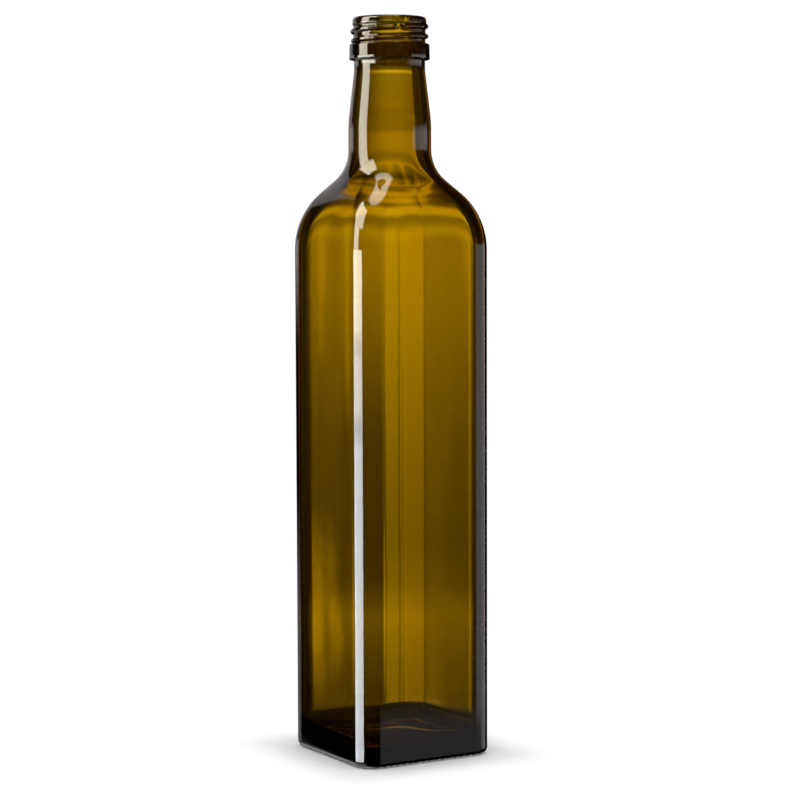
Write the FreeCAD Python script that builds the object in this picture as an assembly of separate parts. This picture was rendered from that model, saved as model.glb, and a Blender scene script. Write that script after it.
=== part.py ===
"""Square glass bottle with rounded corners, a round tapering neck and a screw mouth, empty and open.

It is one piece of moulded glass. Sizes are in millimetres. The origin is at the centre of the base, on the
surface that the bottle stands on, +Z is up, and the four flat faces look along X and Y. Heights above the
body are set from the top down, so a taller bottle gets a taller body and keeps its shoulder, neck and mouth.
"""

import FreeCAD
import Part

import math
import os

# ---- body ----
total_height = 270.0
body_side = 55.7                # across two opposite flat faces
corner_radius = 8.0             # upright edges between the faces
heel_radius = 2.6               # rounding where the sides meet the base
body_wall = 2.6                 # glass at the middle of a face
corner_extra_wall = 0.7         # how much thicker the glass is in the corners, along the diagonal

# ---- base ----
floor_thickness = 5.8           # from the standing surface to the lowest part of the inside
inner_floor_radius = 6.0        # rounding between the inner wall and the floor
floor_dome_radius = 19.0        # plan radius of the low dome on the inner floor
floor_dome_rise = 1.8
bearing_width = 3.6             # flat ring that carries the bottle
push_up_height = 3.2            # hollow under the base, at its centre
push_up_edge = 1.0              # step from the bearing ring into the hollow, at mid side
push_up_corner_radius = 7.0

# ---- shoulder, drawn in the upright plane through two opposite corners ----
shoulder_radius = 26.6          # outward curve above the body
shoulder_slope = 50.9           # degrees from the vertical, where the two curves meet
neck_root_radius = 14.6         # inward curve into the neck

# ---- neck ----
neck_length = 32.5              # from the end of the shoulder's curve to the underside of the collar
neck_root_outer = 15.15         # radius where the neck leaves the shoulder
neck_wall = 3.1
neck_taper_length = 18.8
neck_taper_gap = 3.8            # straight stretch between the taper and the collar
neck_lower_blend = 60.0         # rounding of the two bends that the taper makes
neck_upper_blend = 25.0

# ---- mouth ----
mouth_height = 15.4             # from the underside of the collar to the lip
mouth_radius = 13.15            # plain wall that the screw thread stands on
mouth_wall = 2.95
bore_depth = 17.0               # straight part of the bore, from the lip down
neck_step = 0.2                 # how far the neck under the collar is inside the mouth's wall
collar_height = 5.7
collar_overhang = 1.55          # past the mouth's wall, at the underside
collar_draft = 0.1              # how much the collar narrows towards its top
collar_top_edge = 0.6
collar_bottom_edge = 0.35
collar_under_fillet = 0.7
lip_height = 3.1                # from the lip down to the plain wall
lip_overhang = 0.3
lip_step = 0.5                  # height of the taper from the lip to the plain wall
lip_edge = 1.3
bore_edge = 1.1                 # opening out of the bore at the lip

half_side = body_side / 2
neck_top_outer = mouth_radius - neck_step
bore_radius = mouth_radius - mouth_wall
collar_bottom = total_height - mouth_height
neck_bottom = collar_bottom - neck_length
taper_end = collar_bottom - neck_taper_gap
taper_start = taper_end - neck_taper_length

root_two = math.sqrt(2)
section_count = 17              # outlines that the shoulder is drawn through
straight_run = 3.0              # upright stretch at each end of the shoulder, so that it starts off flush
corner_share = 22.5             # degrees either side of a face's middle that its arc spans on a round neck
tiny = 1e-6
up = FreeCAD.Vector(0, 0, 1)


def at(x, y, z=0.0):
    return FreeCAD.Vector(x, y, z)


def polar(radius, degrees, z, hub=(0.0, 0.0)):
    angle = math.radians(degrees)
    return at(hub[0] + radius * math.cos(angle), hub[1] + radius * math.sin(angle), z)


def line(start, end):
    return Part.LineSegment(start, end).toShape()


def corner_reach(half, radius):
    """Distance from the axis to the corner of a rounded square."""
    return (half - radius) * root_two + radius


def section(face, corner, roundness, z):
    """A closed outline of four face arcs and four corner arcs, each tangent to the next.

    face and corner are its distances from the axis, square to a face and along a diagonal. With roundness 0
    the face arcs are straight lines, and with roundness 1 the eight arcs make one circle.
    """
    turn = corner_share * roundness
    sine = math.sin(math.radians(turn))
    cosine = math.cos(math.radians(turn))
    if roundness < tiny:
        small = (face * root_two - corner) / (root_two - 1)
        offset = face - small
    else:
        # face = large * (1 - lean) + small * lean, and corner = large * spread + small * (1 - spread)
        lean = cosine - sine
        spread = root_two * sine
        scale = (1 - lean) * (1 - spread) - lean * spread
        large = (face * (1 - spread) - corner * lean) / scale
        small = (corner * (1 - lean) - face * spread) / scale
        offset = (large - small) * sine
    edges = []
    for facing in (0, 90, 180, 270):
        right_hub = polar(offset * root_two, facing - 45, z)
        left_hub = polar(offset * root_two, facing + 45, z)
        start = polar(small, facing - turn, z, right_hub)
        end = polar(small, facing + turn, z, left_hub)
        if roundness < tiny:
            edges.append(line(start, end))
        else:
            edges.append(Part.Arc(start, polar(face, facing, z), end).toShape())
        corner_end = polar(small, facing + 90 - turn, z, left_hub)
        edges.append(Part.Arc(end, polar(corner, facing + 45, z), corner_end).toShape())
    return Part.Wire(edges)


def rounded_square(half, radius, z):
    return section(half, corner_reach(half, radius), 0.0, z)


def prism(half, radius, low, high):
    return Part.Face(rounded_square(half, radius, low)).extrude(up * (high - low))


def shoulder_curve(distance, convex, concave):
    """Points (out, height) up the shoulder, where out runs from distance at the body to 0 at the neck.

    The curve is an arc, a straight slope and an arc the other way. On a body too narrow for the asked slope
    the two arcs meet at a gentler one.
    """
    steepest = math.acos(max(-1.0, 1 - distance / (convex + concave)))
    slope = min(math.radians(shoulder_slope), steepest)
    run = (distance - (convex + concave) * (1 - math.cos(slope))) / math.sin(slope)
    rise = (convex + concave) * math.sin(slope) + run * math.cos(slope)
    lower = convex * slope
    upper = lower + run
    length = upper + concave * slope
    points = []
    for step in range(section_count):
        along = length * step / (section_count - 1)
        if along <= lower:
            angle = along / convex
            out = distance - convex * (1 - math.cos(angle))
            height = convex * math.sin(angle)
        elif along <= upper:
            out = distance - convex * (1 - math.cos(slope)) - (along - lower) * math.sin(slope)
            height = convex * math.sin(slope) + (along - lower) * math.cos(slope)
        else:
            angle = (length - along) / concave
            out = concave * (1 - math.cos(angle))
            height = rise - concave * math.sin(angle)
        points.append((out, height))
    return points


outer_curve = shoulder_curve(
    corner_reach(half_side, corner_radius) - neck_root_outer, shoulder_radius, neck_root_radius
)
shoulder_start = neck_bottom - outer_curve[-1][1]


def shoulder(half, radius, neck, convex, concave):
    """The stretch from the square body to the round neck, which ends straight_run past neck_bottom."""
    reach = corner_reach(half, radius)
    curve = shoulder_curve(reach - neck, convex, concave)
    stretch = (neck_bottom - shoulder_start) / curve[-1][1]
    shares = [1.0, 1.0] + [out / (reach - neck) for out, _ in curve] + [0.0, 0.0]
    heights = [shoulder_start - straight_run, shoulder_start - straight_run / 2]
    heights += [shoulder_start + height * stretch for _, height in curve]
    heights += [neck_bottom + straight_run / 2, neck_bottom + straight_run]
    wires = []
    for share, z in zip(shares, heights):
        face = neck + share * (half - neck)
        corner = neck + share * (reach - neck)
        wires.append(section(face, corner, (1 - share) ** 2, z))
    return Part.makeLoft(wires, True, False)


def blended(points, radii):
    """Edges through (x, z) points in the XZ plane, with each inner point rounded to its own radius.

    Where there is no room for that radius, the rounding takes up half of the shorter edge beside it.
    """
    corners = [at(x, 0, z) for x, z in points]
    edges = []
    start = corners[0]
    for before, corner, after, radius in zip(corners, corners[1:], corners[2:], radii):
        if radius <= 0:
            edges.append(line(start, corner))
            start = corner
            continue
        back = (before - corner).normalize()
        ahead = (after - corner).normalize()
        half_angle = back.getAngle(ahead) / 2
        room = min((corner - before).Length, (after - corner).Length) / 2
        cut = min(radius / math.tan(half_angle), room)
        fitted = cut * math.tan(half_angle)
        nearest = corner + (back + ahead).normalize() * (fitted / math.sin(half_angle) - fitted)
        arc_start = corner + back * cut
        arc_end = corner + ahead * cut
        if (arc_start - start).Length > tiny:
            edges.append(line(start, arc_start))
        edges.append(Part.Arc(arc_start, nearest, arc_end).toShape())
        start = arc_end
    edges.append(line(start, corners[-1]))
    edges.append(line(corners[-1], corners[0]))
    return edges


def turned(profile):
    """A solid of revolution about Z, from (x, z, rounding) points that start and end on the axis."""
    points = [(x, z) for x, z, _ in profile]
    radii = [rounding for _, _, rounding in profile[1:-1]]
    return Part.Face(Part.Wire(blended(points, radii))).revolve(at(0, 0), up, 360)


def outer_mouth():
    """Neck, collar and lip, solid inside."""
    collar_top = collar_bottom + collar_height
    collar_outer = mouth_radius + collar_overhang
    lip_outer = mouth_radius + lip_overhang
    lip_bottom = total_height - lip_height
    return turned([
        (0.0, neck_bottom + straight_run, 0.0),
        (neck_root_outer, neck_bottom + straight_run, 0.0),
        (neck_root_outer, taper_start, neck_lower_blend),
        (neck_top_outer, taper_end, neck_upper_blend),
        (neck_top_outer, collar_bottom, collar_under_fillet),
        (collar_outer, collar_bottom, collar_bottom_edge),
        (collar_outer - collar_draft, collar_top, collar_top_edge),
        (mouth_radius, collar_top, 0.0),
        (mouth_radius, lip_bottom, 0.0),
        (lip_outer, lip_bottom + lip_step, 0.0),
        (lip_outer, total_height, lip_edge),
        (0.0, total_height, 0.0),
    ])


def inner_mouth():
    """The way in through the lip, the bore and the neck, carried on past the lip for a clean cut."""
    neck_inner = neck_root_outer - neck_wall
    beyond = 5.0
    return turned([
        (0.0, neck_bottom + straight_run, 0.0),
        (neck_inner, neck_bottom + straight_run, 0.0),
        (neck_inner, taper_start, neck_lower_blend),
        (bore_radius, total_height - bore_depth, neck_upper_blend),
        (bore_radius, total_height - bore_edge, 1.2 * bore_edge),
        (bore_radius + bore_edge, total_height, 0.0),
        (bore_radius + bore_edge, total_height + beyond, 0.0),
        (0.0, total_height + beyond, 0.0),
    ])


def lowest_edges(solid, z):
    return [edge for edge in solid.Edges if edge.BoundBox.ZMax < z + tiny]


def outside():
    body = prism(half_side, corner_radius, 0.0, shoulder_start - straight_run)
    body = body.makeFillet(heel_radius, lowest_edges(body, 0.0))
    dome = shoulder(half_side, corner_radius, neck_root_outer, shoulder_radius, neck_root_radius)
    return body.fuse([dome, outer_mouth()])


def cavity():
    half = half_side - body_wall
    diagonal = corner_reach(half_side, corner_radius) - body_wall - corner_extra_wall
    radius = (half * root_two - diagonal) / (root_two - 1)
    body = prism(half, radius, floor_thickness, shoulder_start - straight_run)
    body = body.makeFillet(inner_floor_radius, lowest_edges(body, floor_thickness))
    sphere_radius = (floor_dome_radius ** 2 + floor_dome_rise ** 2) / (2 * floor_dome_rise)
    dome_centre = at(0, 0, floor_thickness + floor_dome_rise - sphere_radius)
    body = body.cut(Part.makeSphere(sphere_radius, dome_centre))
    dome = shoulder(
        half, radius, neck_root_outer - neck_wall, shoulder_radius - body_wall, neck_root_radius + neck_wall
    )
    return body.fuse([dome, inner_mouth()])


def push_up():
    """The hollow under the base: a rounded square that rises towards its middle."""
    half = half_side - heel_radius - bearing_width
    sphere_radius = half ** 2 / (2 * (push_up_height - push_up_edge))
    ball = Part.makeSphere(sphere_radius, at(0, 0, push_up_height - sphere_radius))
    below = 1.0
    return prism(half, push_up_corner_radius, -below, push_up_height + below).common(ball)


inside = cavity()
bottle = outside().cut(inside).cut(push_up()).removeSplitter().Solids[0]

os.makedirs("parts", exist_ok=True)
bottle.exportStep("parts/bottle.step")

below_lip = Part.makeBox(body_side, body_side, total_height, at(-half_side, -half_side, 0))
print("body to", round(shoulder_start, 1), "and neck from", round(neck_bottom, 1), "to", round(collar_bottom, 1))
print("glass", round(bottle.Volume / 1000, 1), "cm3")
print("filled to the lip", round(inside.common(below_lip).Volume / 1000), "ml")
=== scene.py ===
import bpy
import bmesh
import math
from mathutils import Matrix, Vector, noise


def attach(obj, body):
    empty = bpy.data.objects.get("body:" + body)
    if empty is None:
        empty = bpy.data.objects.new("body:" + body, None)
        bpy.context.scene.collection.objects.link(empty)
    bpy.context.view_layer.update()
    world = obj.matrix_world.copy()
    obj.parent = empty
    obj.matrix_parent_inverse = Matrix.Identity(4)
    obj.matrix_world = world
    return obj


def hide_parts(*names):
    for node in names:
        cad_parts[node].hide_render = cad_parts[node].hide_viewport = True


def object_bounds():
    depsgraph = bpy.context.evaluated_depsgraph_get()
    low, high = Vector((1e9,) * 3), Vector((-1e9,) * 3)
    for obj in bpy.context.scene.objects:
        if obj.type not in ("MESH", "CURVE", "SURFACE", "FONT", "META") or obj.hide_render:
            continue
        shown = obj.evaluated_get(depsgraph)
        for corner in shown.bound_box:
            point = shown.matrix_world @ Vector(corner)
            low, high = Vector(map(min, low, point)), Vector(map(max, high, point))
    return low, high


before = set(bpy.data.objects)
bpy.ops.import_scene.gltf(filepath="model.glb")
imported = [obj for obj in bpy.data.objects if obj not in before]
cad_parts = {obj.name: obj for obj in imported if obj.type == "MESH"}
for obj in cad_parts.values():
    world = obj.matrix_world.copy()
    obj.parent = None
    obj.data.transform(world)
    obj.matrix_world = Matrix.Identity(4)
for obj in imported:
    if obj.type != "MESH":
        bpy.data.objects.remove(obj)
cadLow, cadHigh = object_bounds()
mm = 0.001
root2 = math.sqrt(2)

# sizes are in millimetres, like the solid's, and the two overall ones come from the frame
bottle = {
    "height": cadHigh.z / mm,
    "halfSide": (cadHigh.x - cadLow.x) / 2 / mm,
    "cornerRadius": 8.0,
    "heelRadius": 2.6,
    "bodyWall": 2.6,
    "cornerExtraWall": 0.7,
    "floorThickness": 5.8,
    "innerFloorRadius": 6.0,
    "floorDomeRadius": 19.0,
    "floorDomeRise": 1.8,
    "bearingWidth": 3.6,
    "pushUpHeight": 3.2,
    "pushUpEdge": 1.0,
    "pushUpCornerRadius": 7.0,
    "pushUpRimInset": 1.2,  # where the dome of the push-up ends and its rim begins
    "pushUpRim": ((-0.55, 0.75), (-0.2, 0.3), (0.2, 0.06), (0.9, 0.0)),     # out from its edge, and up
    "shoulderRadius": 26.6,
    "shoulderSlope": 50.9,
    "neckRootRadius": 14.6,
    "neckLength": 32.5,
    "neckRootOuter": 15.15,
    "neckTopOuter": 12.95,
    "neckWall": 3.1,
    "neckTaper": 18.8,
    "neckTaperGap": 3.8,
    "neckFoot": 4.0,        # straight foot of the neck, and of its bore
    "taperBend": 3.6,       # how far a bend in the neck's profile reaches either way
    "boreBend": 1.2,
    "neckTopEase": ((0.18, -1.5), (0.05, -0.4), (0.0, 0.9)),    # out and up from the taper's end
    "boreFootEase": ((-0.25, 2.5), (-0.06, 0.6), (0.0, -2.0)),  # out and up from the taper's start
    "mouthHeight": 15.4,
    "mouthRadius": 13.15,
    "boreRadius": 10.2,
    "boreDepth": 17.0,
    "collarHeight": 5.7,
    "collarOuter": 14.7,
    "collarDraft": 0.1,
    "collarTopEdge": 0.6,
    "collarBottomEdge": 0.35,
    "collarUnderFillet": 0.7,
    "mouthFootFillet": 0.25,
    "lipHeight": 3.1,
    "lipOuter": 13.45,
    "lipStep": 0.5,
    "lipEdge": 1.3,
    "boreEdge": 1.1,
    "segments": 256,        # around the bottle
    "bodyStep": 4.0,        # between rings on the straight body
    "innerStep": 3.2,       # and inside it
    "fineRings": 34,        # on the shoulder, and on the wall that carries the thread
    "baseRings": 8,         # from the middle of the push-up to its rim
    "floorRings": 10,
}

thread = {
    "height": 1.0,          # past the plain wall
    "width": 2.3,
    "crest": 0.32,          # how much of the width is at full height
    "pitch": 3.5,
    "start": 128.0,         # degrees round from +X, at the low end
    "startLevel": 261.1,
    "turns": 1.75,
    "fade": 34.0,           # degrees over which an end runs out
    "seam": 254.0,          # where the upper turn is broken by the mould's parting line
    "seamWidth": 9.0,
    "seamBare": 0.2,        # how much of that has no thread at all
}

# depths and heights in millimetres; each noise has its size across, its size upward and its shifts
# along X and Z
ripple = {
    "inner": 0.02,          # unevenness of the inner wall
    "innerNoise": (13, 70, 0.0, 3.1),
    "band": 0.03,           # and of its settle wave, low on the body
    "bandNoise": (20, 24, 4.0, 0.0),
    "bandLevel": 52.0,
    "bandSpread": 26.0,
    "outer": 0.02,
    "outerNoise": (16, 38, 0.0, 7.3),
    "fold": 0.045,          # upright fold in the wall that faces -X
    "foldWidth": 21.0,
    "foldPlace": 4.4,
    "foldLevels": (90, 180),    # it grows between these heights
    "foldFront": (0.78, 0.86),  # and over these shares of the way out to the wall
    "foldSides": (14, 19),      # and ends between these distances from the wall's middle
    "thin": 0.3,            # how much thinner the shoulder gets towards its top
    "thinLow": (184, 204),  # between these heights it comes, and between the next it goes
    "thinHigh": (206, 230),
    "fadeIn": (4, 14),      # heights over which all of this comes and goes
    "fadeOut": (235, 250),
    "footTop": 3.0,         # the outer wall's foot, below this, stays where the solid has it
}


def arc(centreX, centreZ, radius, startAngle, endAngle, steps):
    # points of a circular arc in the profile's plane, both ends included
    angles = [math.radians(startAngle + (endAngle - startAngle) * i / steps) for i in range(steps + 1)]
    return [(centreX + radius * math.cos(a), centreZ + radius * math.sin(a)) for a in angles]


def straight(start, end, steps):
    # points after start, up to end
    return [
        (start[0] + (end[0] - start[0]) * i / steps, start[1] + (end[1] - start[1]) * i / steps)
        for i in range(1, steps + 1)
    ]


def bend(start, corner, end, cut, steps):
    # a smooth turn at corner, as a curve of the second degree
    before = Vector(start) - Vector(corner)
    after = Vector(end) - Vector(corner)
    a = Vector(corner) + before.normalized() * cut
    c = Vector(corner) + after.normalized() * cut
    points = []
    for i in range(1, steps + 1):
        t = i / steps
        p = a * (1 - t) ** 2 + Vector(corner) * 2 * t * (1 - t) + c * t ** 2
        points.append((p.x, p.y))
    return points


def cornerReach(half, radius):
    return (half - radius) * root2 + radius


def shoulderCurve(distance, convex, concave, steps):
    # (out, height) points: an arc, a straight slope and an arc the other way
    steepest = math.acos(max(-1.0, 1 - distance / (convex + concave)))
    slope = min(math.radians(bottle["shoulderSlope"]), steepest)
    run = (distance - (convex + concave) * (1 - math.cos(slope))) / math.sin(slope)
    rise = (convex + concave) * math.sin(slope) + run * math.cos(slope)
    lower = convex * slope
    upper = lower + run
    length = upper + concave * slope
    points = []
    for i in range(steps + 1):
        along = length * i / steps
        if along <= lower:
            a = along / convex
            points.append((distance - convex * (1 - math.cos(a)), convex * math.sin(a)))
        elif along <= upper:
            out = distance - convex * (1 - math.cos(slope)) - (along - lower) * math.sin(slope)
            points.append((out, convex * math.sin(slope) + (along - lower) * math.cos(slope)))
        else:
            a = (length - along) / concave
            points.append((concave * (1 - math.cos(a)), rise - concave * math.sin(a)))
    return points


def shoulderStations(half, radius, neck, convex, concave, bottom, top, steps):
    # rings (face, corner, roundness, height) from the square body to the round neck
    reach = cornerReach(half, radius)
    curve = shoulderCurve(reach - neck, convex, concave, steps)
    stretch = (top - bottom) / curve[-1][1]
    stations = []
    for out, height in curve:
        share = out / (reach - neck)
        face = neck + share * (half - neck)
        corner = neck + share * (reach - neck)
        stations.append((face, corner, (1 - share) ** 2, bottom + height * stretch))
    return stations


def roundStations(points):
    return [(x, x, 1.0, z) for x, z in points]


def outerStations():
    b = bottle
    half, corner = b["halfSide"], b["cornerRadius"]
    reach = cornerReach(half, corner)
    collarBottom = b["height"] - b["mouthHeight"]
    neckBottom = collarBottom - b["neckLength"]
    rise = shoulderCurve(reach - b["neckRootOuter"], b["shoulderRadius"], b["neckRootRadius"], 4)[-1][1]
    bodyTop = neckBottom - rise

    # base: the low dome of the push-up, the bearing ring, then the heel
    hollow = half - b["heelRadius"] - b["bearingWidth"]
    hollowReach = cornerReach(hollow, b["pushUpCornerRadius"]) / hollow
    sphere = hollow ** 2 / (2 * (b["pushUpHeight"] - b["pushUpEdge"]))
    stations = []
    rings = b["baseRings"]
    for i in range(rings + 1):
        x = (hollow - b["pushUpRimInset"]) * i / rings
        z = b["pushUpHeight"] - sphere + math.sqrt(sphere ** 2 - x ** 2)
        rounding = max(0.0, 1 - x / (hollow - b["pushUpRimInset"])) ** 0.5
        widest = 1 + (hollowReach - 1) * (1 - rounding)
        stations.append((x, x * widest, rounding, z))
    rim = [(hollow + out, z) for out, z in b["pushUpRim"]]
    stations += [(x, x * hollowReach, 0.0, z) for x, z in rim]
    heel = straight(rim[-1], (half - b["heelRadius"], 0.0), 3)
    heel += arc(half - b["heelRadius"], b["heelRadius"], b["heelRadius"], -90, 0, 10)[1:]
    stations += [(x, reach - (half - x), 0.0, z) for x, z in heel]

    # body, shoulder and neck
    rings = round((bodyTop - b["heelRadius"]) / b["bodyStep"])
    for i in range(1, rings):
        stations.append((half, reach, 0.0, b["heelRadius"] + (bodyTop - b["heelRadius"]) * i / rings))
    stations += shoulderStations(
        half, corner, b["neckRootOuter"], b["shoulderRadius"], b["neckRootRadius"],
        bodyTop, neckBottom, b["fineRings"],
    )
    taperEnd = collarBottom - b["neckTaperGap"]
    taperStart = taperEnd - b["neckTaper"]
    fillet = b["collarUnderFillet"]
    top, cut = b["neckTopOuter"], b["taperBend"]
    foot = (b["neckRootOuter"], taperStart)
    neck = [(foot[0], neckBottom + b["neckFoot"]), (foot[0], taperStart - cut)]
    neck += bend(neck[-1], foot, (top, taperEnd), cut, 6)
    ease = [(top + out, taperEnd + up) for out, up in b["neckTopEase"]]
    neck += straight(neck[-1], ease[0], 5) + ease[1:]
    neck += arc(top + fillet, collarBottom - fillet, fillet, 180, 90, 5)

    # collar, the wall that carries the thread, and the lip
    collarTop = collarBottom + b["collarHeight"]
    upper = b["collarOuter"] - b["collarDraft"]
    edge = b["collarBottomEdge"]
    neck += arc(b["collarOuter"] - edge, collarBottom + edge, edge, -90, 0, 4)
    edge = b["collarTopEdge"]
    neck += straight(neck[-1], (upper, collarTop - edge), 4)
    neck += arc(upper - edge, collarTop - edge, edge, 0, 90, 6)[1:]
    fillet = b["mouthFootFillet"]
    neck += arc(b["mouthRadius"] + fillet, collarTop + fillet, fillet, -90, -180, 3)
    lipBottom = b["height"] - b["lipHeight"]
    neck += straight(neck[-1], (b["mouthRadius"], lipBottom), b["fineRings"])
    neck += straight(neck[-1], (b["lipOuter"], lipBottom + b["lipStep"]), 3)
    neck += straight(neck[-1], (b["lipOuter"], b["height"] - b["lipEdge"]), 4)
    neck += arc(b["lipOuter"] - b["lipEdge"], b["height"] - b["lipEdge"], b["lipEdge"], 0, 90, 8)[1:]
    return stations + roundStations(neck), bodyTop, neckBottom


def innerStations(bodyTop, neckBottom):
    # from the lip down through the bore to the middle of the floor
    b = bottle
    edge = b["boreEdge"]
    bore = b["boreRadius"]
    half = b["halfSide"] - b["bodyWall"]
    outerReach = cornerReach(b["halfSide"], b["cornerRadius"])
    reach = outerReach - b["bodyWall"] - b["cornerExtraWall"]
    corner = (half * root2 - reach) / (root2 - 1)
    neckInner = b["neckRootOuter"] - b["neckWall"]
    collarBottom = b["height"] - b["mouthHeight"]
    taperStart = collarBottom - b["neckTaperGap"] - b["neckTaper"]
    boreEnd = b["height"] - b["boreDepth"]
    way = arc(bore + edge, b["height"] - edge, edge, 90, 180, 6)
    way += straight(way[-1], (bore, boreEnd + b["boreBend"]), 12)
    way += bend(way[-1], (bore, boreEnd), (neckInner, taperStart), b["boreBend"], 4)
    ease = [(neckInner + out, taperStart + up) for out, up in b["boreFootEase"]]
    way += straight(way[-1], ease[0], 6) + ease[1:]
    stations = roundStations(way + [(neckInner, neckBottom + b["neckFoot"])])
    dome = shoulderStations(
        half, corner, neckInner, b["shoulderRadius"] - b["bodyWall"],
        b["neckRootRadius"] + b["neckWall"], bodyTop, neckBottom, b["fineRings"],
    )
    stations += dome[::-1]
    low = b["floorThickness"] + b["innerFloorRadius"]
    rings = round((bodyTop - low) / b["innerStep"])
    for i in range(1, rings + 1):
        stations.append((half, reach, 0.0, bodyTop + (low - bodyTop) * i / rings))
    flat = half - b["innerFloorRadius"]
    flatReach = reach - b["innerFloorRadius"]
    for x, z in arc(flat, low, b["innerFloorRadius"], 0, -90, 10)[1:]:
        stations.append((x, reach - (half - x), 0.0, z))
    radius = b["floorDomeRadius"]
    for i in range(1, b["floorRings"] + 1):
        x = flat * (1 - i / b["floorRings"])
        share = x / flat
        rounding = (1 - share) ** 0.5
        widest = 1 + (flatReach / flat - 1) * share
        z = b["floorThickness"] + b["floorDomeRise"] * max(0.0, 1 - (x / radius) ** 2) ** 1.5
        stations.append((x, x * widest, rounding, z))
    return stations


def outlineRadius(angle, face, corner, roundness):
    # how far a ring's outline is from the axis, in the direction angle
    turn = math.tau / 16 * roundness
    fold = abs((angle + math.pi / 4) % (math.pi / 2) - math.pi / 4)
    sine, cosine = math.sin(turn), math.cos(turn)
    if roundness < 1e-4:
        small = (face * root2 - corner) / (root2 - 1)
        offset = face - small
    else:
        lean, spread = cosine - sine, root2 * sine
        scale = (1 - lean) * (1 - spread) - lean * spread
        large = (face * (1 - spread) - corner * lean) / scale
        small = (corner * (1 - lean) - face * spread) / scale
        offset = (large - small) * sine
    if math.tan(fold) < (offset + small * sine) / (offset + small * cosine):
        if roundness < 1e-4:
            return face / math.cos(fold)
        centre = face - large
        return centre * math.cos(fold) + math.sqrt(large ** 2 - (centre * math.sin(fold)) ** 2)
    along = offset * (math.cos(fold) + math.sin(fold))
    across = offset * (math.cos(fold) - math.sin(fold))
    return along + math.sqrt(max(0.0, small ** 2 - across ** 2))


def smooth(low, high, value):
    t = min(1.0, max(0.0, (value - low) / (high - low)))
    return t * t * (3 - 2 * t)


def threadRelief(angle, level):
    # how far the thread stands out of the mouth's wall
    t = thread
    degrees = math.degrees(angle)
    relief = 0.0
    for turn in range(3):
        along = (degrees - t["start"]) % 360 + 360 * turn
        if along > 360 * t["turns"]:
            continue
        ridge = t["startLevel"] + t["pitch"] * along / 360
        across = abs(level - ridge) / (t["width"] / 2)
        if across >= 1:
            continue
        shape = 1 - smooth(t["crest"], 1.0, across)
        fade = smooth(0, t["fade"], along) * smooth(0, t["fade"], 360 * t["turns"] - along)
        if turn > 0:
            gap = abs((degrees - t["seam"] + 180) % 360 - 180)
            fade *= smooth(t["seamBare"], 1.0, gap / t["seamWidth"])
        relief = max(relief, t["height"] * shape * fade)
    return relief


def unevenness(p, name):
    across, up, shiftX, shiftZ = ripple[name]
    return noise.noise(Vector((p.x / across + shiftX, p.y / across, p.z / up + shiftZ)))


def wallRipple(point, inside):
    # the inner wall is uneven, most of all in the settle wave low on the body
    p, r = point / mm, ripple
    if not inside:
        return r["outer"] * unevenness(p, "outerNoise")
    near = math.exp(-((p.z - r["bandLevel"]) / r["bandSpread"]) ** 2)
    push = r["inner"] * unevenness(p, "innerNoise") + r["band"] * near * unevenness(p, "bandNoise")
    onWall = smooth(*r["foldFront"], -p.x / bottle["halfSide"])
    onWall *= 1 - smooth(*r["foldSides"], abs(p.y))
    fold = r["fold"] * math.sin(math.tau * (p.y - r["foldPlace"]) / r["foldWidth"])
    push += onWall * fold * smooth(*r["foldLevels"], p.z)
    push += r["thin"] * smooth(*r["thinLow"], p.z) * (1 - smooth(*r["thinHigh"], p.z))
    return push


def makeBottle():
    outer, bodyTop, neckBottom = outerStations()
    inner = innerStations(bodyTop, neckBottom)
    stations = outer + inner
    print("profile of", len(stations), "points")

    # the half profile, point by point from the middle of the base over the lip to the inner floor
    bpy.ops.object.select_all(action="DESELECT")
    bpy.ops.mesh.primitive_plane_add(size=mm, location=(0, 0, 0))
    glass = bpy.context.object
    glass.name = "glassBottle"
    bpy.ops.object.mode_set(mode="EDIT")
    bpy.ops.mesh.select_all(action="SELECT")
    bpy.ops.mesh.merge(type="CENTER")
    bpy.ops.transform.translate(value=(0, 0, stations[0][3] * mm))
    for (x0, _, _, z0), (x1, _, _, z1) in zip(stations, stations[1:]):
        move = ((x1 - x0) * mm, 0, (z1 - z0) * mm)
        bpy.ops.mesh.extrude_vertices_move(TRANSFORM_OT_translate={"value": move})
    bpy.ops.object.mode_set(mode="OBJECT")
    for name, column in (("corner", 1), ("roundness", 2)):
        layer = glass.data.attributes.new(name, "FLOAT", "POINT")
        for i, station in enumerate(stations):
            layer.data[i].value = station[column]
    layer = glass.data.attributes.new("inside", "FLOAT", "POINT")
    for i in range(len(stations)):
        layer.data[i].value = 1.0 if i >= len(outer) else 0.0

    # spun round, and closed at the seam and the two poles
    bpy.ops.object.mode_set(mode="EDIT")
    bpy.ops.mesh.select_all(action="SELECT")
    bpy.ops.mesh.spin(steps=bottle["segments"], angle=math.tau, center=(0, 0, 0), axis=(0, 0, 1))
    bpy.ops.mesh.select_all(action="SELECT")
    bpy.ops.mesh.remove_doubles(threshold=2e-6)
    bpy.ops.object.mode_set(mode="OBJECT")
    print("spun to", len(glass.data.vertices), "vertices")
    return glass


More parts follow.
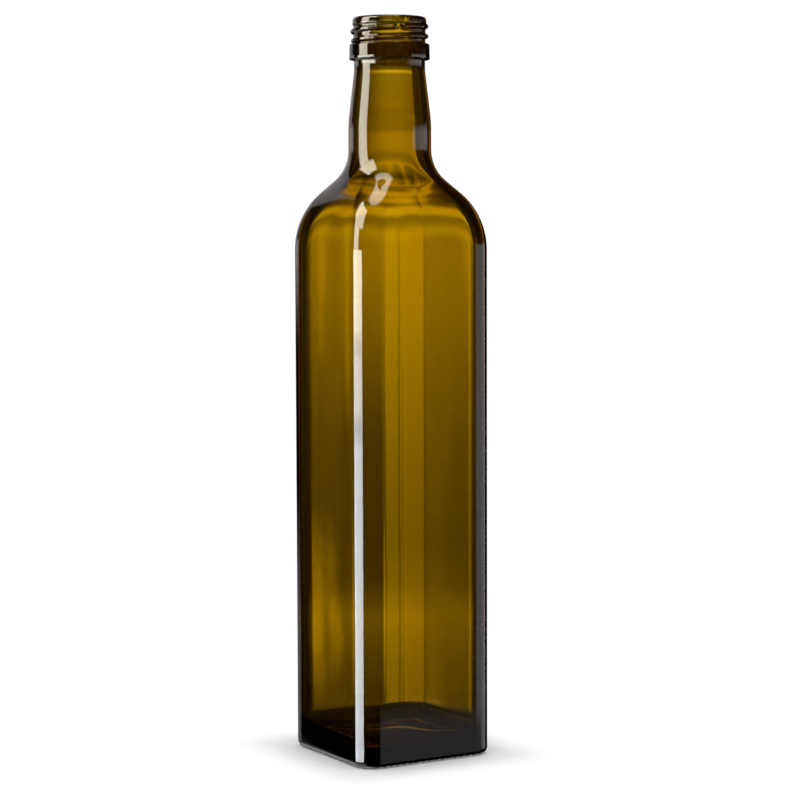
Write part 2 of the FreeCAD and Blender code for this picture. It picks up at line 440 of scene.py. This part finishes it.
def squareBody(glass):
    # each ring is pulled out to its own outline, from a rounded square to a circle
    shape = bmesh.new()
    shape.from_mesh(glass.data)
    corner = shape.verts.layers.float["corner"]
    roundness = shape.verts.layers.float["roundness"]
    inside = shape.verts.layers.float["inside"]
    mouthFoot = bottle["height"] - bottle["mouthHeight"] + bottle["collarHeight"]
    for v in shape.verts:
        face = math.hypot(v.co.x, v.co.y) / mm
        if face < 0.01:     # a pole, on the axis
            continue
        angle = math.atan2(v.co.y, v.co.x)
        reach = outlineRadius(angle, face, v[corner], v[roundness]) * mm
        v.co.x, v.co.y = reach * math.cos(angle), reach * math.sin(angle)
        level = v.co.z / mm
        outward = Vector((math.cos(angle), math.sin(angle), 0))
        if v[inside] < 0.5 and level > mouthFoot:
            push = threadRelief(angle, level)
        else:
            shown = smooth(*ripple["fadeIn"], level) * (1 - smooth(*ripple["fadeOut"], level))
            push = wallRipple(v.co, v[inside] > 0.5) * shown
            if v[inside] < 0.5 and ripple["footTop"] <= level < mouthFoot:
                push -= ripple["outer"]     # keeps the waves inside the solid
        v.co += outward * push * mm
    shape.to_mesh(glass.data)
    shape.free()
    for name in ("corner", "roundness", "inside"):
        glass.data.attributes.remove(glass.data.attributes[name])
    bpy.context.view_layer.objects.active = glass
    bpy.ops.object.mode_set(mode="EDIT")
    bpy.ops.mesh.select_all(action="SELECT")
    bpy.ops.mesh.normals_make_consistent(inside=False)
    bpy.ops.object.mode_set(mode="OBJECT")
    bpy.ops.object.shade_smooth()


class Value:
    # a socket that can stand in sums, each of which adds its Math node
    def __init__(self, tree, socket):
        self.tree = tree
        self.socket = socket

    def math(self, operation, *others):
        inputs = dict(enumerate((self, *others)))
        return addNode(self.tree, "ShaderNodeMath", {"operation": operation}, inputs)

    def flipped(self, operation, other):
        return addNode(self.tree, "ShaderNodeMath", {"operation": operation}, {0: other, 1: self})

    def __add__(self, other):
        return self.math("ADD", other)

    def __radd__(self, other):
        return self.flipped("ADD", other)

    def __sub__(self, other):
        return self.math("SUBTRACT", other)

    def __rsub__(self, other):
        return self.flipped("SUBTRACT", other)

    def __mul__(self, other):
        return self.math("MULTIPLY", other)

    def __rmul__(self, other):
        return self.flipped("MULTIPLY", other)

    def __truediv__(self, other):
        return self.math("DIVIDE", other)

    def __rtruediv__(self, other):
        return self.flipped("DIVIDE", other)

    def soft(self, low, high):
        # from 0 at low to 1 at high, by a smooth step
        return addNode(self.tree, "ShaderNodeMapRange", {"interpolation_type": "SMOOTHSTEP"},
                       {"Value": self, "From Min": low, "From Max": high})

    def axes(self):
        return [addNode(self.tree, "ShaderNodeSeparateXYZ", {}, {0: self}, i) for i in range(3)]

    def mixed(self, a, b):
        # colour a where this is 0, and b where it is 1
        return mixColours(self.tree, "MIX", self, a, b)

    def tinted(self, other):
        return mixColours(self.tree, "MULTIPLY", 1.0, self, other)


def addNode(tree, kind, settings=None, inputs=None, output=0):
    node = tree.nodes.new(kind)
    for name, value in (settings or {}).items():
        if name != "stops":
            setattr(node, name, value)
            continue
        elements = node.color_ramp.elements
        while len(elements) < len(value):
            elements.new(0.5)
        for element, (place, colour) in zip(elements, value):
            element.position = place
            element.color = (*colour, 1)
    for name, value in (inputs or {}).items():
        if isinstance(value, Value):
            tree.links.new(value.socket, node.inputs[name])
        else:
            node.inputs[name].default_value = value
    return Value(tree, node.outputs[output]) if node.outputs else None


def mixColours(tree, blend, factor, a, b):
    settings = {"data_type": "RGBA", "blend_type": blend, "clamp_result": False}
    return addNode(tree, "ShaderNodeMix", settings, {0: factor, 6: a, 7: b}, output=2)


def grey(level):
    return (level, level, level, 1)


def emptyTree(owner):
    # a material's or world's node tree, with nothing in it
    owner.use_nodes = True
    owner.node_tree.nodes.clear()
    return owner.node_tree


def rayIs(tree, kind):
    return addNode(tree, "ShaderNodeLightPath", output="Is " + kind + " Ray")


glassLook = {
    "takenPerMetre": (150.0, 262.0, 1300.0),   # red, green and blue that the glass takes out
    "ior": 1.52,
    "roughness": 0.0,
    "rippleScale": 55.0,
    "rippleDepth": 0.00002,
    "boreGrain": 2600.0,    # the bore's wall is rough behind the collar
    "boreGrainDepth": 0.0006,
    "boreReach": 0.8,       # how far past the bore's radius that goes, and below the collar
    "boreBelow": 1.0,
    "ribStep": 2.7,         # fine ribs along the foot of the bearing ring
    "ribDepth": 0.0001,
    "ribTop": 1.6,          # where they begin, and are full
    "ribFull": 0.7,
}


def glassMaterial():
    look = glassLook
    material = bpy.data.materials.new("oliveGlass")
    tree = emptyTree(material)
    place = addNode(tree, "ShaderNodeTexCoord", output="Object")
    waves = addNode(tree, "ShaderNodeTexNoise", {"noise_dimensions": "3D"},
                    {"Vector": place, "Scale": look["rippleScale"], "Detail": 2.0, "Roughness": 0.4})

    # grain on the bore behind the collar, and ribs round the foot
    x, y, z = place.axes()
    collarBottom = bottle["height"] - bottle["mouthHeight"]
    collarTop = collarBottom + bottle["collarHeight"]
    radius = (x * x + y * y).math("SQRT")
    inBore = radius.math("LESS_THAN", (bottle["boreRadius"] + look["boreReach"]) * mm)
    inBore = inBore * z.math("GREATER_THAN", (collarBottom - look["boreBelow"]) * mm)
    inBore = inBore * z.math("LESS_THAN", collarTop * mm)
    grain = addNode(tree, "ShaderNodeTexNoise", {"noise_dimensions": "3D"},
                    {"Vector": place, "Scale": look["boreGrain"], "Detail": 1.0})
    waves = waves + grain * inBore * (look["boreGrainDepth"] / look["rippleDepth"])
    foot = z.soft(look["ribTop"] * mm, look["ribFull"] * mm)
    ribs = ((x + y) * (math.tau / (look["ribStep"] * mm))).math("SINE")
    waves = waves + ribs * foot * (look["ribDepth"] / look["rippleDepth"])
    bump = addNode(tree, "ShaderNodeBump", {},
                   {"Height": waves, "Strength": 1.0, "Distance": look["rippleDepth"]})

    shader = addNode(tree, "ShaderNodeBsdfPrincipled", {}, {
        "Base Color": grey(1), "Roughness": look["roughness"], "IOR": look["ior"],
        "Transmission Weight": 1.0, "Normal": bump,
    })
    density = max(look["takenPerMetre"])
    colour = [1 - taken / density for taken in look["takenPerMetre"]]
    depth = addNode(tree, "ShaderNodeVolumeAbsorption", {}, {"Color": (*colour, 1), "Density": density})
    addNode(tree, "ShaderNodeOutputMaterial", {}, {"Surface": shader, "Volume": depth})
    return material


studio = {
    "ambient": 0.006,       # what polished glass mirrors where no panel is
    "middle": 59.2,         # azimuth of the brightest part of the backlight, its field
    "fieldSpan": 12.0,      # degrees to either side that the field's lists cover
    "fieldEdge": (13.0, 11.5),  # where it begins, and is full
    "upSpan": 20.0,         # degrees up and down that the lists by elevation cover
    "dim": grey(0.35),      # how much is left of the light round the field, low down and high up
    "lowest": -12.0,
    "horizon": 1.0,
    "highest": 12.0,
}

# light that the glass mirrors: azimuth from and to, elevation from and to, the soft edges of both
# (all in degrees), and colour
panels = [
    (40, 200, -120, -24, 8, 8, (0.9, 0.92, 0.95)),
    (138, 192, -18, -4.8, 5, 1.5, (11.8, 12.3, 12.8)),
    (138, 192, -4.8, -2.8, 5, 1, (12.4, 12.2, 11.2)),
    (138, 192, -2.8, 1, 5, 0.8, (15.0, 14.4, 11.6)),
    (143, 172, 1, 29, 5, 0.8, (10.5, 9.8, 7.6)),
    (136, 190, 29, 60, 6, 3, (10.5, 9.8, 7.6)),
    (305, 366, -18, 4, 5, 4, (1.05, 1.08, 1.13)),
    (88, 117, -1.5, 4, 3, 3, (1.2, 1.2, 1.25)),
    (88, 117, -18, -8, 3, 4, (0.45, 0.47, 0.5)),
    (70, 106, 3, 30, 4, 6, (0.6, 0.6, 0.62)),
    (280, 330, -40, -11.7, 8, 1, (0.4, 0.4, 0.42)),
    (-180, 180, 73, 100, 0, 6, (6.0, 5.5, 4.4)),
]

# backlight that comes through the glass, by degrees round from its middle: all round, and then the
# field, at middle levels, above the horizon and low down
around = [
    (-180, 0.75), (-171, 0.35), (-160, 0.8), (-149, 1.0), (-138, 0.8), (-127, 0.3), (-116, 0.8),
    (-104, 1.0), (-90, 0.7), (-76, 0.2), (-59, 0.15), (-45, 0.05), (-25, 0.06), (-18, 0.1),
    (-12, 0.06), (12, 0.03), (18, 0.02), (31, 0.12), (42, 0.04), (60, 0.3), (78, 1.0), (120, 0.9),
    (180, 0.75),
]
fieldMiddle = [
    (-12, 0.2), (-8, 0.3), (-5, 0.4), (-3.9, 0.45), (-3.3, 0.6), (-3.1, 0.75), (-2.9, 0.95),
    (-2.75, 0.9), (-2.4, 0.95), (-2.0, 0.75), (-1.7, 0.58), (-0.8, 0.62), (-0.4, 0.85), (0.3, 0.9),
    (0.9, 0.76), (1.5, 0.66), (2.4, 0.62), (3.3, 0.6), (5, 0.4), (8, 0.2), (12, 0.1),
]
fieldTop = [
    (-12, 0.55), (-8, 0.68), (-5, 0.74), (-3.3, 0.8), (-2.4, 0.82), (-1, 0.82), (0.3, 0.84),
    (1.5, 0.76), (2.4, 0.68), (3.3, 0.64), (5, 0.5), (8, 0.35), (12, 0.2),
]
fieldLow = [
    (-12, 0.03), (-6, 0.08), (-3.9, 0.4), (-3.3, 0.58), (-3.1, 0.75), (-2.9, 1.0), (-2.75, 0.9),
    (-2.4, 0.9), (-2.1, 0.6), (-1.8, 0.36), (-1.3, 0.44), (-0.8, 0.58), (-0.4, 0.82), (0.3, 0.86),
    (0.7, 0.5), (1, 0.27), (1.4, 0.36), (1.9, 0.42), (2.5, 0.3), (3.4, 0.17), (5, 0.04), (8, 0.015),
    (12, 0.01),
]

# by elevation in degrees: how bright the field is, and how far it is the low or the top one
upward = [
    (-20, 0.06), (-17, 0.06), (-14.5, 0.1), (-13.4, 0.4), (-12.4, 0.65), (-11.4, 0.6),
    (-10.4, 0.66), (-9.4, 0.92), (-8.6, 0.6), (-7.5, 0.5), (-5.6, 0.62), (-2.8, 0.95), (-0.8, 1.2),
    (-0.2, 1.45), (0.3, 1.3), (0.8, 0.96), (1.4, 0.76), (2.2, 0.76), (3.2, 1.7), (4.6, 1.8),
    (6.2, 0.5), (9, 0.16), (20, 0.05),
]
lowShare = [
    (-20, 0.3), (-13, 0.8), (-11.5, 1), (-10.3, 0.8), (-9.3, 0.55), (-8.4, 1), (-5, 1), (-3, 0.5),
    (-0.5, 0), (20, 0),
]
topShare = [(-20, 0), (-0.6, 0), (0.4, 1), (20, 1)]

# an oval patch on the field: degrees round from the middle, elevation, and half its width and height
patch = {"round": 2.05, "level": -9.0, "width": 0.85, "height": 2.6, "core": 0.4, "strength": 1.15}


def ramp(value, span, points, highest=1.0):
    # a list of levels by degrees, from -span to span, as shares of the highest
    stops = [((place + span) / (2 * span), (level / highest,) * 3) for place, level in points]
    return addNode(value.tree, "ShaderNodeValToRGB", {"stops": stops}, {0: value / (2 * span) + 0.5})


def makeWorld():
    world = bpy.data.worlds.new("studio")
    bpy.context.scene.world = world
    tree = emptyTree(world)
    x, y, z = addNode(tree, "ShaderNodeTexCoord", output="Generated").axes()
    elevation = z.math("ARCSINE").math("DEGREES")

    def turned(middle):
        # degrees round from an azimuth, -180 to 180
        a = math.radians(middle)
        across = y * math.cos(a) - x * math.sin(a)
        return across.math("ARCTAN2", x * math.cos(a) + y * math.sin(a)).math("DEGREES")

    # mirrored: the panels, each over those before it
    mirrored = grey(studio["ambient"])
    for start, end, low, high, side, fade, colour in panels:
        half = (end - start) / 2
        away = turned((start + end) / 2).math("ABSOLUTE")
        mask = 1 - away.soft(half - side / 2, half + side / 2)
        mask = mask * elevation.soft(low - fade / 2, low + fade / 2)
        mask = mask * (1 - elevation.soft(high - fade / 2, high + fade / 2))
        mirrored = mask.mixed(mirrored, (*colour, 1))

    # through the glass: the field, with the dimmer light round it
    s = studio
    sideways = turned(s["middle"])
    lists = (fieldMiddle, fieldTop, fieldLow)
    middle, top, low = [ramp(sideways, s["fieldSpan"], points) for points in lists]
    field = ramp(elevation, s["upSpan"], lowShare).mixed(middle, low)
    field = ramp(elevation, s["upSpan"], topShare).mixed(field, top)
    across = (sideways - patch["round"]) / patch["width"]
    along = (elevation - patch["level"]) / patch["height"]
    away = (across * across + along * along).math("SQRT")
    field = away.soft(1.0, patch["core"]).mixed(field, grey(patch["strength"]))
    brightest = max(level for _, level in upward)
    level = ramp(elevation, s["upSpan"], upward, brightest).tinted(grey(brightest))
    field = field.tinted(level)
    left = elevation.soft(s["lowest"], s["horizon"]).mixed(s["dim"], grey(1))
    left = elevation.soft(s["horizon"], s["highest"]).mixed(left, s["dim"])
    wide = ramp(sideways, 180.0, around).tinted(left)
    through = sideways.math("ABSOLUTE").soft(*s["fieldEdge"]).mixed(wide, field)

    # a ray through glass counts as glossy too, so that test comes last
    seen = rayIs(tree, "Glossy").mixed(grey(1), mirrored)
    seen = rayIs(tree, "Transmission").mixed(seen, through)
    light = addNode(tree, "ShaderNodeBackground", {}, {"Color": seen, "Strength": 1.0})
    addNode(tree, "ShaderNodeOutputWorld", {}, {"Surface": light})


floorLook = {
    "size": 6.0,
    "colour": 0.97,
    "whiteFrom": 0.022,     # metres from the bottle where the camera sees it plain white
    "paintedShadow": 0.006,          # painted shadow: how dark the floor under the bottle shows through the glass, out to the distance on the next line
    "paintedShadowTo": 0.06,
    "clearFrom": 0.09,      # and from here on the backlight shows instead
}


def makeFloor():
    look = floorLook
    bpy.ops.object.select_all(action="DESELECT")
    bpy.ops.mesh.primitive_plane_add(size=look["size"], location=(0, 0, 0))
    floor = bpy.context.object
    floor.name = "floor"
    material = bpy.data.materials.new("paleFloor")
    tree = emptyTree(material)
    place = addNode(tree, "ShaderNodeTexCoord", output="Object")

    def vector(operation, *inputs, output=0):
        settings = {"operation": operation}
        return addNode(tree, "ShaderNodeVectorMath", settings, dict(enumerate(inputs)), output)

    # pale and lit beside the bottle, and white farther off
    half = bottle["halfSide"] * mm
    beside = vector("SUBTRACT", vector("ABSOLUTE", place), (half, half, 0))
    beside = vector("LENGTH", vector("MAXIMUM", beside, (0, 0, 0)), output="Value")
    far = beside.soft(0.0, look["whiteFrom"]) * rayIs(tree, "Camera")
    lit = addNode(tree, "ShaderNodeBsdfDiffuse", {}, {"Color": grey(look["colour"])})
    white = addNode(tree, "ShaderNodeEmission", {}, {"Color": grey(1), "Strength": 1.0})
    plain = addNode(tree, "ShaderNodeMixShader", {}, {0: far, 1: lit, 2: white})

    # painted shadow: rays through the glass see a dark sheet under the bottle, which fades to the
    # backlight farther off
    beyond = vector("LENGTH", place, output="Value").soft(look["paintedShadowTo"], look["clearFrom"])
    paintedShadow = addNode(tree, "ShaderNodeEmission", {}, {"Color": grey(look["paintedShadow"]), "Strength": 1.0})
    clear = addNode(tree, "ShaderNodeBsdfTransparent")
    through = addNode(tree, "ShaderNodeMixShader", {}, {0: beyond, 1: paintedShadow, 2: clear})
    isThrough = rayIs(tree, "Transmission")
    surface = addNode(tree, "ShaderNodeMixShader", {}, {0: isThrough, 1: plain, 2: through})
    addNode(tree, "ShaderNodeOutputMaterial", {}, {"Surface": surface})
    floor.data.materials.append(material)
    floor.visible_glossy = False


# angles in degrees, distances in millimetres
camera = {
    "azimuth": -30.755,     # where it stands, round from -Y
    "distance": 880.7,      # from the axis
    "height": 194.54,
    "down": 4.178,
    "roll": -0.188,
    "turn": -0.222,         # how far it looks past the axis
    "lens": 107.82,
    "sensor": 36.0,
    "near": 0.05,           # metres
    "far": 50.0,
}


def makeCamera():
    c = camera
    azimuth = math.radians(c["azimuth"])
    heading = math.radians(c["azimuth"] + c["turn"])
    down, roll = math.radians(c["down"]), math.radians(c["roll"])
    ahead = Vector((-math.sin(heading), math.cos(heading), 0))
    right = Vector((math.cos(heading), math.sin(heading), 0))
    up = Vector((0, 0, 1))
    forward = ahead * math.cos(down) - up * math.sin(down)
    over = up * math.cos(down) + ahead * math.sin(down)
    rolledRight = right * math.cos(roll) + over * math.sin(roll)
    rolledUp = over * math.cos(roll) - right * math.sin(roll)
    turn = Matrix((rolledRight, rolledUp, -forward)).transposed().to_4x4()
    away = Vector((math.sin(azimuth), -math.cos(azimuth), 0))
    spot = away * c["distance"] * mm + up * c["height"] * mm
    data = bpy.data.cameras.new("camera")
    data.sensor_width = c["sensor"]
    data.lens = c["lens"]
    data.clip_start = c["near"]
    data.clip_end = c["far"]
    seer = bpy.data.objects.new("camera", data)
    bpy.context.collection.objects.link(seer)
    seer.matrix_world = Matrix.Translation(spot) @ turn
    bpy.context.scene.camera = seer


glass = makeBottle()
squareBody(glass)
glass.data.materials.append(glassMaterial())
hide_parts("bottle")
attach(glass, "root")
print("bottle has", sum(len(p.vertices) - 2 for p in glass.data.polygons), "triangles")
makeWorld()
makeFloor()
makeCamera()
bpy.context.scene.view_settings.view_transform = "Standard"
print("studio, floor and camera are set")
